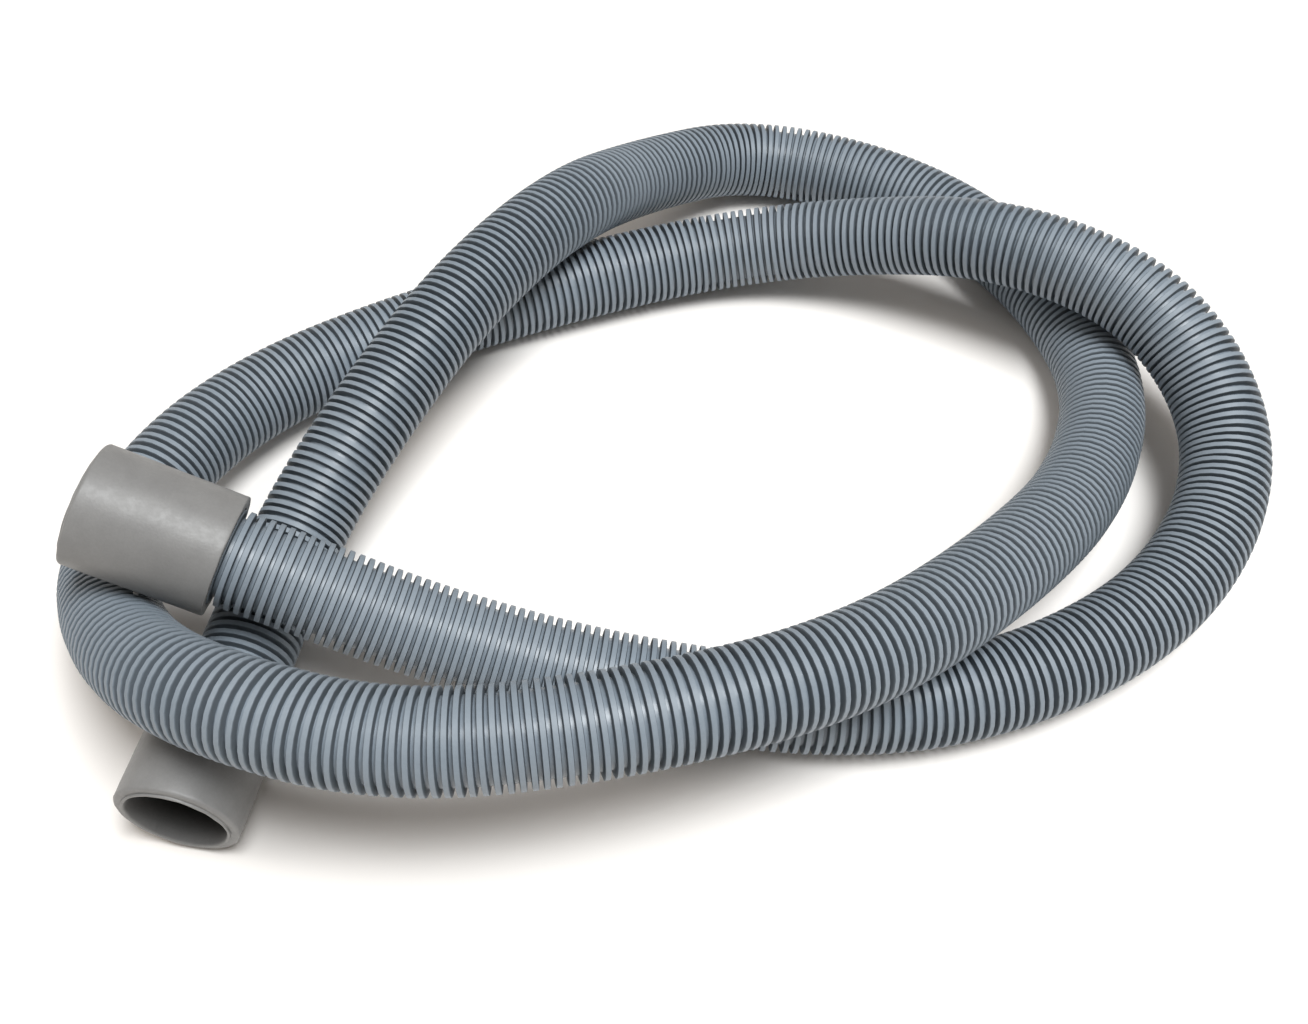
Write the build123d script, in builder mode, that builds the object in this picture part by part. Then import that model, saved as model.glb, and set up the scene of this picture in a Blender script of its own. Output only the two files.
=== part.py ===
"""Corrugated waste-water hose, 1.8 m long and 28 mm over its rings, with a soft cuff on each end.

The hose lies in two loose, overlapping loops on a flat surface at z = 0, in millimetres, +Z up.
"""

import os

from math import pi, radians, tan

from build123d import *

os.makedirs("parts", exist_ok=True)

# Hose wall
HOSE_R = 14.0  # crest of a ring, so the hose is the standard 28 mm
GROOVE_R = 11.6  # floor of the groove between two rings
HOSE_BORE_R = 10.8
RING_PITCH = 3.0
CREST_WIDTH = 1.7
TAIL_RINGS = 6  # rings of the straight end that sits inside a cuff
TAIL_LENGTH = TAIL_RINGS * RING_PITCH

# Cuffs, measured along the axis from the mouth
CUFF_R = 17.6
CUFF_LENGTH = 40.6
SOCKET_R = 14.0  # a 28 mm spigot pushes in here
SOCKET_DEPTH = 19.3
STOP_R = 12.2  # lip that the hose end stops against
STOP_WIDTH = 1.5
HOSE_INSET = 21.3  # mouth to hose end
POCKET_R = HOSE_R + 0.05  # running fit on the rings, so the cuff can be turned
CATCH_R = 12.6  # ribs that sit in the hose's grooves and hold the cuff on
CATCH_WIDTH = 0.7
CATCH_GROOVES = (1, 3, 5)  # which grooves, counted from the hose end
LIP_R = 15.3  # raised lip round the mouth
LIP_HEIGHT = 0.6
RIM_CHAMFER = 1.0
REAR_CHAMFER = 0.4
LEAD_IN = 0.6
NUB_R = 0.9  # moulding nub under cuff_a
NUB_HEIGHT = 0.8
NUB_PLACE = 22.3
NUB_SUNK = 1.0

# Route of the hose's centreline from the end in cuff_a to the end in cuff_b
ROUTE = [
    (-148.1, -80.1, 62.3), (-116.1, -86.1, 48.9), (-74, -94, 30.5), (-19, -103, 18), (47, -110, 14), (99, -99, 14),
    (145, -72, 14), (172, -35, 20), (174, 2, 31), (152, 36, 43.5), (108, 63, 43.5), (62, 84, 26),
    (14, 89, 15), (-44, 71, 14), (-99, 47, 14), (-144, 15, 18), (-169.5, -24, 24), (-180.2, -64.2, 22.5),
    (-159.6, -105, 41.9), (-127, -131.3, 58.3), (-77.4, -144.5, 57), (-17.8, -136.5, 56), (42, -116, 50), (90.5, -75.5, 37),
    (127.5, -31.5, 22), (146, 20, 14), (133.5, 67, 14), (107, 107, 14), (68.5, 134.5, 14), (21.5, 145.5, 15),
    (-17, 118, 26), (-45, 77, 45), (-77, 31, 45), (-105.8, -18.4, 34), (-123.5, -53, 22), (-131.6, -90, 17.6),
    (-138, -124.5, 17.6),
]  # fmt: skip
POINTS = [Vector(*point) for point in ROUTE]
CORNERS_PER_SPAN = 2
ARC_SHARE = 0.45  # share of the shorter run beside a corner that its arc takes


def corner_radius(corner):
    """Radius of the arc at one corner, as large as the two runs beside it allow."""
    run_in = POINTS[corner] - POINTS[corner - 1]
    run_out = POINTS[corner + 1] - POINTS[corner]
    turn = radians(run_in.get_angle(run_out))
    return ARC_SHARE * min(run_in.length, run_out.length) / tan(turn / 2)


def span_points(first, last):
    """Points of the span that rounds the corners first to last, cut halfway along the runs outside."""
    start = (POINTS[first - 1] + POINTS[first]) / 2
    end = (POINTS[last] + POINTS[last + 1]) / 2
    if first == 1:
        start = POINTS[0] + (POINTS[1] - POINTS[0]).normalized() * TAIL_LENGTH
    if last == len(POINTS) - 2:
        end = POINTS[-1] + (POINTS[-2] - POINTS[-1]).normalized() * TAIL_LENGTH
    return [start, *POINTS[first : last + 1], end]


def end_plane(end, inner, back):
    """Plane through the hose's axis at one end: x runs along the axis, from back mm outside the end."""
    along = (inner - end).normalized()
    level = along.cross(Vector(0, 0, 1)).normalized()
    return Plane(end - along * back, x_dir=along, z_dir=along.cross(level))


def hose_span(name, first, last, radii):
    """A plain closed solid of the hose's outer size along part of its route."""
    with BuildPart() as span:
        with BuildLine() as path:
            FilletPolyline(*span_points(first, last), radius=radii[first - 1 : last])
        with BuildSketch(Plane(path.line @ 0, z_dir=path.line % 0)):
            Circle(HOSE_R)
        sweep()
    span.part.label = name
    export_step(span.part, f"parts/{name}.step")
    length = path.wires()[0].length
    print(name, "volume over section times length", round(span.part.volume / (pi * HOSE_R**2 * length), 4))
    return length


def tail_profile():
    """Half section of the ringed end: crests and groove floors outside, a smooth bore inside."""
    points = [(0, HOSE_BORE_R), (0, GROOVE_R)]
    for ring in range(TAIL_RINGS):
        middle = (ring + 0.5) * RING_PITCH
        points.append((middle - CREST_WIDTH / 2, GROOVE_R))
        points.append((middle - CREST_WIDTH / 2, HOSE_R))
        points.append((middle + CREST_WIDTH / 2, HOSE_R))
        points.append((middle + CREST_WIDTH / 2, GROOVE_R))
    points.append((TAIL_LENGTH, GROOVE_R))
    points.append((TAIL_LENGTH, HOSE_BORE_R))
    return points


def hose_tail(name, end, inner):
    """The straight ringed end of the hose, which the cuff turns on."""
    plane = end_plane(end, inner, 0)
    with BuildPart() as tail:
        with BuildSketch(plane):
            with BuildLine():
                Polyline(*tail_profile(), close=True)
            make_face()
        revolve(axis=Axis(plane.origin, plane.x_dir))
    tail.part.label = name
    export_step(tail.part, f"parts/{name}.step")


def cuff_profile():
    """Half section of a cuff: socket, stop lip, then the pocket with its catch ribs."""
    stop_end = SOCKET_DEPTH + STOP_WIDTH
    points = [(0, SOCKET_R + LEAD_IN), (LEAD_IN, SOCKET_R), (SOCKET_DEPTH, SOCKET_R)]
    points += [(SOCKET_DEPTH, STOP_R), (stop_end, STOP_R), (stop_end, POCKET_R)]
    for groove in CATCH_GROOVES:
        middle = HOSE_INSET + groove * RING_PITCH
        points.append((middle - CATCH_WIDTH / 2, POCKET_R))
        points.append((middle - CATCH_WIDTH / 2, CATCH_R))
        points.append((middle + CATCH_WIDTH / 2, CATCH_R))
        points.append((middle + CATCH_WIDTH / 2, POCKET_R))
    points += [(CUFF_LENGTH - LEAD_IN, POCKET_R), (CUFF_LENGTH, POCKET_R + LEAD_IN)]
    points += [(CUFF_LENGTH, CUFF_R - REAR_CHAMFER), (CUFF_LENGTH - REAR_CHAMFER, CUFF_R)]
    points += [(LIP_HEIGHT + RIM_CHAMFER, CUFF_R), (LIP_HEIGHT, CUFF_R - RIM_CHAMFER)]
    points += [(LIP_HEIGHT, LIP_R), (0, LIP_R)]
    return points


def cuff(name, end, inner, nub_toward=None):
    """A soft straight cuff, which covers the hose's end and leaves a socket in front of it."""
    plane = end_plane(end, inner, HOSE_INSET)
    with BuildPart() as body:
        with BuildSketch(plane):
            with BuildLine():
                Polyline(*cuff_profile(), close=True)
            make_face()
        revolve(axis=Axis(plane.origin, plane.x_dir))
        if nub_toward:
            outward = nub_toward - plane.x_dir * nub_toward.dot(plane.x_dir)
            foot = plane.origin + plane.x_dir * NUB_PLACE + outward.normalized() * (CUFF_R - NUB_SUNK)
            with BuildSketch(Plane(foot, z_dir=outward)):
                Circle(NUB_R)
            extrude(amount=NUB_SUNK + NUB_HEIGHT)
    body.part.label = name
    export_step(body.part, f"parts/{name}.step")
    print(name, "mouth", plane.origin, "axis out of the mouth", -plane.x_dir)


RADII = [corner_radius(corner) for corner in range(1, len(POINTS) - 1)]
print("corner radii", [round(radius) for radius in RADII])

hose_length = 2 * TAIL_LENGTH
spans = range(1, len(POINTS) - 1, CORNERS_PER_SPAN)
for number, first_corner in enumerate(spans, start=1):
    last_corner = min(first_corner + CORNERS_PER_SPAN - 1, len(POINTS) - 2)
    hose_length += hose_span(f"hose_span_{number:02d}", first_corner, last_corner, RADII)
print("hose length", round(hose_length, 1))

hose_tail("hose_tail_a", POINTS[0], POINTS[1])
hose_tail("hose_tail_b", POINTS[-1], POINTS[-2])

cuff("cuff_a", POINTS[0], POINTS[1], nub_toward=Vector(-0.34, -0.81, -0.47))
cuff("cuff_b", POINTS[-1], POINTS[-2])
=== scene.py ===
"""Corrugated waste-water hose with a soft cuff on each end, lying in loose loops on a pale floor."""

import math
import random

import bpy
from mathutils import Euler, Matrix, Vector, noise


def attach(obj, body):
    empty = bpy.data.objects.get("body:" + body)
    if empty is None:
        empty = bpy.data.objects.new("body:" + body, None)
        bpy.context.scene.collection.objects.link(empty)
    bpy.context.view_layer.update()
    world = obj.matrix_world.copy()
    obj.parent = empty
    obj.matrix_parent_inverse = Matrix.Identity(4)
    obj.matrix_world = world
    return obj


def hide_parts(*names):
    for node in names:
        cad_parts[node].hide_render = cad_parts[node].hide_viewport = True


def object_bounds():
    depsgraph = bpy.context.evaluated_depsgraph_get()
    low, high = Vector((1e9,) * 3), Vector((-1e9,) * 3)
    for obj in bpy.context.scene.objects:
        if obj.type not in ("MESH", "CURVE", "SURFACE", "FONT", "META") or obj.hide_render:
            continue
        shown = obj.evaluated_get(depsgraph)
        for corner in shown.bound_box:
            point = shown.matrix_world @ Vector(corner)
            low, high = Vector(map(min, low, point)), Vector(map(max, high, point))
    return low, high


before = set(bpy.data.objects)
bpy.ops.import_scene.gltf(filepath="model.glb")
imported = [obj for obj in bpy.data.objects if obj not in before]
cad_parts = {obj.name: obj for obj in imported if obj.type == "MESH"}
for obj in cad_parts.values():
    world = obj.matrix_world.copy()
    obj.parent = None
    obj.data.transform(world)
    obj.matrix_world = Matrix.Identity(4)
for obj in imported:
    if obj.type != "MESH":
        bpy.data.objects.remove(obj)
cad_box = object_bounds()

MM = 0.001
SEED = 28
random.seed(SEED)
noise.seed_set(SEED)

# Camera
CAMERA_PLACE = (-0.012, -0.306, 0.362)
CAMERA_TILT = math.radians(37.8)
CAMERA_LENS = 37.61
SENSOR_WIDTH = 36.0

# Floor
FLOOR_HALF = 6.0
FLOOR_DROP = 0.2 * MM

# Hose, as in part.py
HOSE_R = 14.0 * MM
GROOVE_R = 11.6 * MM
HOSE_BORE_R = 10.8 * MM
RING_PITCH = 2.9 * MM
CREST_PROFILE = [(-0.85, 13.35), (-0.68, 13.97), (0.68, 13.97), (0.85, 13.35)]
CREST_HALF = CREST_PROFILE[-1][0] * MM
GROOVE_SHARES = (0.12, 0.88)
RING_SEGMENTS = 25
BORE_STEPS = 105
RING_SHIFT = 0.05 * MM
RING_TILT = math.radians(0.5)
LINE_STEPS = 24

ROUTE = [
    (-0.1481, -0.0801, 0.0623), (-0.1161, -0.0861, 0.0489), (-0.074, -0.094, 0.0305), (-0.019, -0.103, 0.018),
    (0.047, -0.11, 0.014), (0.099, -0.099, 0.014), (0.145, -0.072, 0.014), (0.172, -0.035, 0.02),
    (0.174, 0.002, 0.031), (0.152, 0.036, 0.0435), (0.108, 0.063, 0.0435), (0.062, 0.084, 0.026),
    (0.014, 0.089, 0.015), (-0.044, 0.071, 0.014), (-0.099, 0.047, 0.014), (-0.144, 0.015, 0.018),
    (-0.1695, -0.024, 0.024), (-0.1802, -0.0642, 0.0225),
    (-0.1596, -0.105, 0.0419), (-0.127, -0.1313, 0.0583),
    (-0.0774, -0.1445, 0.057), (-0.0178, -0.1365, 0.056), (0.042, -0.116, 0.05), (0.0905, -0.0755, 0.037),
    (0.1275, -0.0315, 0.022), (0.146, 0.02, 0.014), (0.1335, 0.067, 0.014), (0.107, 0.107, 0.014),
    (0.0685, 0.1345, 0.014), (0.0215, 0.1455, 0.015), (-0.017, 0.118, 0.026), (-0.045, 0.077, 0.045),
    (-0.077, 0.031, 0.045), (-0.1058, -0.0184, 0.034), (-0.1235, -0.053, 0.022), (-0.1316, -0.09, 0.0176),
    (-0.138, -0.1245, 0.0176),
]  # fmt: skip

# Cuffs, in mm from the mouth along the axis, and from the axis outward
CUFF_SEGMENTS = 96
HOSE_INSET = 21.3 * MM
CUFF_R = 17.6 * MM
CUFF_LENGTH = 40.6
ROUND_STEPS = 5
RIM_DEPTH = 2.5
RIM_UNEVEN = 0.14 * MM
WALL_UNEVEN = 0.05 * MM
UNEVEN_SCALE = 260  # noise cells per metre
NUB_TOWARD = Vector((-0.34, -0.81, -0.47))
NUB_PLACE = 22.3 * MM
NUB_SEGMENTS = 12
NUB_PROFILE = [(-1.0, 0.9), (0.5, 0.85), (0.75, 0.55), (0.8, 0.1), (-1.0, 0.1)]
SHARP_ANGLE = math.radians(40)
SOCKET_R = 14.0
SOCKET_DEPTH = 19.3
STOP_R = 12.2
STOP_END = 20.8
POCKET_R = 14.35
LIP_R = 15.05
RIM_ROUND = 1.0
REAR_ROUND = 0.4
BORE_EDGE_R = 14.4  # what lies inside this radius is the bore, which gets painted shade
BORE_SHADE_FADE = 12.0  # depth over which the painted shade in the bore deepens


def make_camera():
    """The camera stands in front of the hose and looks down at it."""
    data = bpy.data.cameras.new("camera")
    data.lens = CAMERA_LENS
    data.sensor_width = SENSOR_WIDTH
    camera = bpy.data.objects.new("camera", data)
    camera.location = CAMERA_PLACE
    camera.rotation_euler = (CAMERA_TILT, 0, 0)
    bpy.context.scene.collection.objects.link(camera)
    bpy.context.scene.camera = camera


def smooth_line():
    """Points read from the NURBS spline whose control points are the route."""
    curve = bpy.data.curves.new("route", "CURVE")
    curve.dimensions = "3D"
    curve.resolution_u = LINE_STEPS
    spline = curve.splines.new("NURBS")
    spline.points.add(len(ROUTE) - 1)
    for point, place in zip(spline.points, ROUTE):
        point.co = (*place, 1)
    spline.order_u = 3
    spline.use_endpoint_u = True
    holder = bpy.data.objects.new("route", curve)
    mesh = bpy.data.meshes.new_from_object(holder)
    points = [vertex.co.copy() for vertex in mesh.vertices]
    bpy.data.objects.remove(holder)
    bpy.data.curves.remove(curve)
    bpy.data.meshes.remove(mesh)
    return points


class Line:
    """A smooth line that gives a frame at any distance along it, without twist."""

    def __init__(self, points):
        self.points = points
        self.reach = [0.0]
        for before, after in zip(points, points[1:]):
            self.reach.append(self.reach[-1] + (after - before).length)
        self.length = self.reach[-1]
        self.turns = self._turns()

    def _tangent(self, index):
        before = self.points[max(index - 1, 0)]
        after = self.points[min(index + 1, len(self.points) - 1)]
        return (after - before).normalized()

    def _turns(self):
        """A rotation from +Z to the line's direction at each point, each turned on from the last."""
        turn = Vector((0, 0, 1)).rotation_difference(self._tangent(0))
        turns = [turn]
        for index in range(1, len(self.points)):
            step = self._tangent(index - 1).rotation_difference(self._tangent(index))
            turn = step @ turn
            turns.append(turn)
        return turns

    def at(self, distance):
        """Place and rotation at a distance from the start."""
        index = 0
        low, high = 0, len(self.reach) - 2
        while low <= high:
            index = (low + high) // 2
            if self.reach[index + 1] < distance:
                low = index + 1
            elif self.reach[index] > distance:
                high = index - 1
            else:
                break
        span = self.reach[index + 1] - self.reach[index]
        share = min(max((distance - self.reach[index]) / span, 0.0), 1.0)
        place = self.points[index].lerp(self.points[index + 1], share)
        return place, self.turns[index].slerp(self.turns[index + 1], share)


def loop_at(place, turn, offset, radius, segments):
    """Corners of one round loop, offset along the line's direction."""
    corners = []
    for corner in range(segments):
        angle = math.tau * corner / segments
        corners.append(place + turn @ Vector((radius * math.cos(angle), radius * math.sin(angle), offset)))
    return corners


def mesh_from_tubes(name, tubes):
    """A mesh of closed tubes. A tube is a list of loops, each with its height: 0 in a recess, 1 outside."""
    corners, faces, heights = [], [], []
    for loops in tubes:
        segments = len(loops[0][0])
        first = len(corners)
        for number, (loop, height) in enumerate(loops):
            corners.extend(loop)
            heights.extend([height] * segments)
            here = first + number * segments
            there = first + (number + 1) % len(loops) * segments
            for corner in range(segments):
                following = (corner + 1) % segments
                faces.append((here + corner, here + following, there + following, there + corner))
    mesh = bpy.data.meshes.new(name)
    mesh.from_pydata(corners, [], faces)
    mesh.shade_smooth()
    mesh.set_sharp_from_angle(angle=SHARP_ANGLE)
    mesh.attributes.new("height", "FLOAT", "POINT").data.foreach_set("value", heights)
    mesh.validate()
    piece = bpy.data.objects.new(name, mesh)
    bpy.context.scene.collection.objects.link(piece)
    return piece


def ring_frames(line):
    """Place and rotation of each ring, each a little askew."""
    frames = []
    distance = RING_PITCH / 2
    while distance < line.length:
        place, turn = line.at(distance + random.uniform(-RING_SHIFT, RING_SHIFT))
        askew = Euler((random.uniform(-RING_TILT, RING_TILT), random.uniform(-RING_TILT, RING_TILT), 0))
        frames.append((place, turn @ askew.to_quaternion()))
        distance += RING_PITCH
    return frames


def make_hose(line):
    """The ringed wall outside, a smooth bore inside. In bends the grooves open and close, the rings don't."""
    frames = ring_frames(line)
    loops = [(loop_at(*line.at(0), 0, GROOVE_R, RING_SEGMENTS), 0)]
    for number, (place, turn) in enumerate(frames):
        for offset, radius in CREST_PROFILE:
            height = (radius * MM - GROOVE_R) / (HOSE_R - GROOVE_R)
            loops.append((loop_at(place, turn, offset * MM, radius * MM, RING_SEGMENTS), height))
        if number + 1 < len(frames):
            here = loop_at(place, turn, CREST_HALF, GROOVE_R, RING_SEGMENTS)
            there = loop_at(*frames[number + 1], -CREST_HALF, GROOVE_R, RING_SEGMENTS)
            for share in GROOVE_SHARES:
                loops.append(([before.lerp(after, share) for before, after in zip(here, there)], 0))
    loops.append((loop_at(*line.at(line.length), 0, GROOVE_R, RING_SEGMENTS), 0))
    for step in range(BORE_STEPS, -1, -1):
        place, turn = line.at(line.length * step / BORE_STEPS)
        loops.append((loop_at(place, turn, 0, HOSE_BORE_R, RING_SEGMENTS), 0))
    return mesh_from_tubes("hose", [loops])


def arc(x, radius, size, start, end):
    """Points of a rounded corner of the profile, centred at (x, radius), angles in degrees."""
    points = []
    for step in range(ROUND_STEPS + 1):
        angle = math.radians(start + (end - start) * step / ROUND_STEPS)
        points.append((x + size * math.cos(angle), radius + size * math.sin(angle)))
    return points


def lip_profile():
    """The thin lip round the mouth, from its foot outside to the start of the socket."""
    inner = SOCKET_R + 0.7
    points = [(0.65, LIP_R + 0.15), (0.1, LIP_R + 0.1), (0.0, LIP_R)]
    points += [(0.0, inner), (0.1, inner - 0.2), (0.7, SOCKET_R + 0.05)]
    return points


def bore_profile():
    """The socket, the stop that the hose's end sits against, and the pocket round the hose."""
    points = [(depth, SOCKET_R) for depth in (4, 12, SOCKET_DEPTH - 0.1)]
    points += [(SOCKET_DEPTH, SOCKET_R - 0.1), (SOCKET_DEPTH, STOP_R + 0.2), (SOCKET_DEPTH + 0.2, STOP_R)]
    points += [(STOP_END - 0.2, STOP_R), (STOP_END, STOP_R + 0.2), (STOP_END, POCKET_R - 0.15)]
    points += [(STOP_END + 0.1, POCKET_R), (30, POCKET_R), (39.8, POCKET_R)]
    return points


def cuff_profile():
    """Half section of a cuff: lip, bore, rear rim, the wall outside and the rounded front rim."""
    radius = CUFF_R / MM
    rear = CUFF_LENGTH - REAR_ROUND
    points = lip_profile() + bore_profile()
    points += arc(rear, POCKET_R + 0.45, REAR_ROUND, -90, 0)
    points += arc(rear, radius - REAR_ROUND, REAR_ROUND, 0, 90)
    points += [(place, radius) for place in (39.2, 36, 30, 24, 17, 11, 5)]
    points += [(2.6, radius - 0.02), *arc(1.65, radius - RIM_ROUND, RIM_ROUND, 85, 170)]
    return points


def end_axes(end, inner):
    """Place of the cuff's mouth, and the rotation from +Z to the way that it points into the hose."""
    along = (Vector(inner) - Vector(end)).normalized()
    return Vector(end) - along * HOSE_INSET, Vector((0, 0, 1)).rotation_difference(along)


def uneven(loop, x, strength):
    """Moves the corners of a loop a little, as soft rubber comes out of its mould."""
    along = Vector((x, 0, 0))
    return [corner + noise.noise_vector(corner * UNEVEN_SCALE + along) * strength for corner in loop]


def make_cuff(name, end, inner, nub_toward=None):
    """A soft cuff, a little uneven at its rims, with a moulding nub if it has one."""
    mouth, turn = end_axes(end, inner)
    loops = []
    for x, radius in cuff_profile():
        loop = loop_at(mouth, turn, x * MM, radius * MM, CUFF_SEGMENTS)
        at_rim = x < RIM_DEPTH or x > CUFF_LENGTH - RIM_DEPTH
        # Inside the bore the height falls with depth, and the material paints shade there by it.
        height = 1 if radius > BORE_EDGE_R else max(0, 1 - x / BORE_SHADE_FADE)
        loops.append((uneven(loop, x, RIM_UNEVEN if at_rim else WALL_UNEVEN), height))
    tubes = [loops]
    if nub_toward:
        along = turn @ Vector((0, 0, 1))
        outward = (nub_toward - along * nub_toward.dot(along)).normalized()
        foot = mouth + along * NUB_PLACE + outward * CUFF_R
        nub_turn = Vector((0, 0, 1)).rotation_difference(outward)
        nub = [loop_at(foot, nub_turn, x * MM, radius * MM, NUB_SEGMENTS) for x, radius in NUB_PROFILE]
        tubes.append([(loop, 1) for loop in nub])
    return mesh_from_tubes(name, tubes)


def node_tree(name):
    """A new material with its node tree and its shader."""
    material = bpy.data.materials.new(name)
    material.use_nodes = True
    tree = material.node_tree
    return material, tree, tree.nodes["Principled BSDF"]


def grain_of(tree, scale, detail, place):
    """A noise texture in the object's own coordinates."""
    texture = tree.nodes.new("ShaderNodeTexNoise")
    texture.inputs["Scale"].default_value = scale
    texture.inputs["Detail"].default_value = detail
    tree.links.new(place, texture.inputs["Vector"])
    return texture.outputs["Fac"]


def ramp(tree, value, stops):
    """Turns a value into a colour, between the colours given at some values."""
    node = tree.nodes.new("ShaderNodeValToRGB")
    elements = node.color_ramp.elements
    while len(elements) < len(stops):
        elements.new(1.0)
    for element, (position, colour) in zip(elements, stops):
        element.position = position
        element.color = (*colour, 1)
    tree.links.new(value, node.inputs["Fac"])
    return node.outputs["Color"]


def greys(tree, value, stops):
    """A ramp whose colours are greys."""
    return ramp(tree, value, [(position, (grey, grey, grey)) for position, grey in stops])


def blend_colours(tree, kind, first, second):
    """Multiplies or adds two colours."""
    node = tree.nodes.new("ShaderNodeMix")
    node.data_type = "RGBA"
    node.blend_type = kind
    node.inputs["Factor"].default_value = 1.0
    tree.links.new(first, node.inputs["A"])
    tree.links.new(second, node.inputs["B"])
    return node.outputs["Result"]


def bumps(tree, shader, height, distance, strength):
    """Gives the surface fine relief."""
    node = tree.nodes.new("ShaderNodeBump")
    node.inputs["Distance"].default_value = distance
    node.inputs["Strength"].default_value = strength
    tree.links.new(height, node.inputs["Height"])
    tree.links.new(node.outputs["Normal"], shader.inputs["Normal"])


def height_of(tree):
    """The height stored in the mesh."""
    stored = tree.nodes.new("ShaderNodeAttribute")
    stored.attribute_name = "height"
    return stored.outputs["Fac"]


def hose_material():
    """Blue-grey polypropylene: softly worn crests, glossy groove floors, painted shade darkening the groove
    walls between them.
    """
    material, tree, shader = node_tree("hose_plastic")
    place = tree.nodes.new("ShaderNodeTexCoord").outputs["Object"]
    height = height_of(tree)
    cloudy = grain_of(tree, 14, 3, place)
    grain = grain_of(tree, 900, 4, place)
    wall = ramp(tree, cloudy, [(0.35, (0.203, 0.245, 0.288)), (0.65, (0.233, 0.275, 0.318))])
    # Painted shade: the groove walls are darkened to about half, while the groove floors and the crests keep
    # their full colour.
    depth = greys(tree, height, [(0.0, 1.0), (0.1, 0.55), (0.78, 0.5), (0.92, 0.85), (0.98, 1.0)])
    speckle = greys(tree, grain, [(0.3, 0.93), (0.7, 1.0)])
    colour = blend_colours(tree, "MULTIPLY", wall, depth)
    colour = blend_colours(tree, "MULTIPLY", colour, speckle)
    tree.links.new(colour, shader.inputs["Base Color"])
    worn = greys(tree, cloudy, [(0.35, 0.47), (0.65, 0.56)])
    gloss = greys(tree, height, [(0.05, 0.7), (0.3, 1.0)])
    tree.links.new(blend_colours(tree, "MULTIPLY", worn, gloss), shader.inputs["Roughness"])
    shader.inputs["IOR"].default_value = 1.49
    bumps(tree, shader, grain, 0.00012, 0.3)
    return material


def cuff_material():
    """Grey soft rubber with a fine moulded grain and faint smears, with painted shade inside the bore."""
    material, tree, shader = node_tree("cuff_rubber")
    place = tree.nodes.new("ShaderNodeTexCoord").outputs["Object"]
    cloudy = grain_of(tree, 130, 3, place)
    grain = grain_of(tree, 1400, 3, place)
    body = ramp(tree, cloudy, [(0.3, (0.200, 0.199, 0.197)), (0.7, (0.226, 0.225, 0.222))])
    speckle = greys(tree, grain, [(0.3, 0.94), (0.7, 1.0)])
    # Painted shade: the bore gets darker with depth behind the mouth, while the outside keeps its colour.
    inside = greys(tree, height_of(tree), [(0.0, 0.05), (0.95, 0.6), (1.0, 1.0)])
    colour = blend_colours(tree, "MULTIPLY", body, speckle)
    colour = blend_colours(tree, "MULTIPLY", colour, inside)
    tree.links.new(colour, shader.inputs["Base Color"])
    gloss = greys(tree, height_of(tree), [(0.9, 0.7), (1.0, 0.0)])
    smears = greys(tree, grain_of(tree, 450, 2, place), [(0.35, 0.43), (0.60, 0.50)])
    tree.links.new(blend_colours(tree, "ADD", smears, gloss), shader.inputs["Roughness"])
    shader.inputs["IOR"].default_value = 1.5
    bumps(tree, shader, grain, 0.0001, 0.4)
    return material


def floor_material():
    """A plain white table top."""
    material, _, shader = node_tree("floor_white")
    shader.inputs["Base Color"].default_value = (0.93, 0.90, 0.87, 1)
    shader.inputs["Roughness"].default_value = 0.7
    return material


def make_floor():
    """A wide plain floor at the height that the hose lies on."""
    mesh = bpy.data.meshes.new("floor")
    half = FLOOR_HALF
    corners = [(-half, -half, 0), (half, -half, 0), (half, half, 0), (-half, half, 0)]
    mesh.from_pydata(corners, [], [(0, 1, 2, 3)])
    floor = bpy.data.objects.new("floor", mesh)
    floor.location.z = cad_box[0].z - FLOOR_DROP
    mesh.materials.append(floor_material())
    bpy.context.scene.collection.objects.link(floor)


def softbox(name, place, size, power, colour):
    """A square area light that faces the middle of the hose."""
    data = bpy.data.lights.new(name, "AREA")
    data.shape = "SQUARE"
    data.size = size
    data.energy = power
    data.color = colour
    lamp = bpy.data.objects.new(name, data)
    lamp.location = place
    lamp.rotation_euler = (-Vector(place)).to_track_quat("-Z", "Y").to_euler()
    bpy.context.scene.collection.objects.link(lamp)


def make_light():
    """A warm pale sky, a large soft key high over the front right, and a weak fill from the left."""
    world = bpy.data.worlds.new("sky")
    world.use_nodes = True
    sky = world.node_tree.nodes["Background"]
    sky.inputs["Color"].default_value = (1.0, 0.91, 0.82, 1)
    sky.inputs["Strength"].default_value = 0.27
    bpy.context.scene.world = world
    bpy.context.scene.view_settings.view_transform = "Standard"
    softbox("key", (0.5, -0.44, 2.3), 1.0, 66, (0.97, 0.99, 1.0))
    softbox("side", (-1.0, 0.1, 1.0), 0.8, 3, (1.0, 0.95, 0.90))


make_camera()

line = Line(smooth_line())
hose = make_hose(line)
cuff_a = make_cuff("cuff_a_shell", ROUTE[0], ROUTE[1], NUB_TOWARD)
cuff_b = make_cuff("cuff_b_shell", ROUTE[-1], ROUTE[-2])

hose.data.materials.append(hose_material())
rubber = cuff_material()
for shell, node in ((cuff_a, "cuff_a"), (cuff_b, "cuff_b")):
    shell.data.materials.append(rubber)
    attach(shell, node)
    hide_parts(node)

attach(hose, "hose")
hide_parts(*[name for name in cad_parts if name.startswith("hose_")])

make_floor()
make_light()
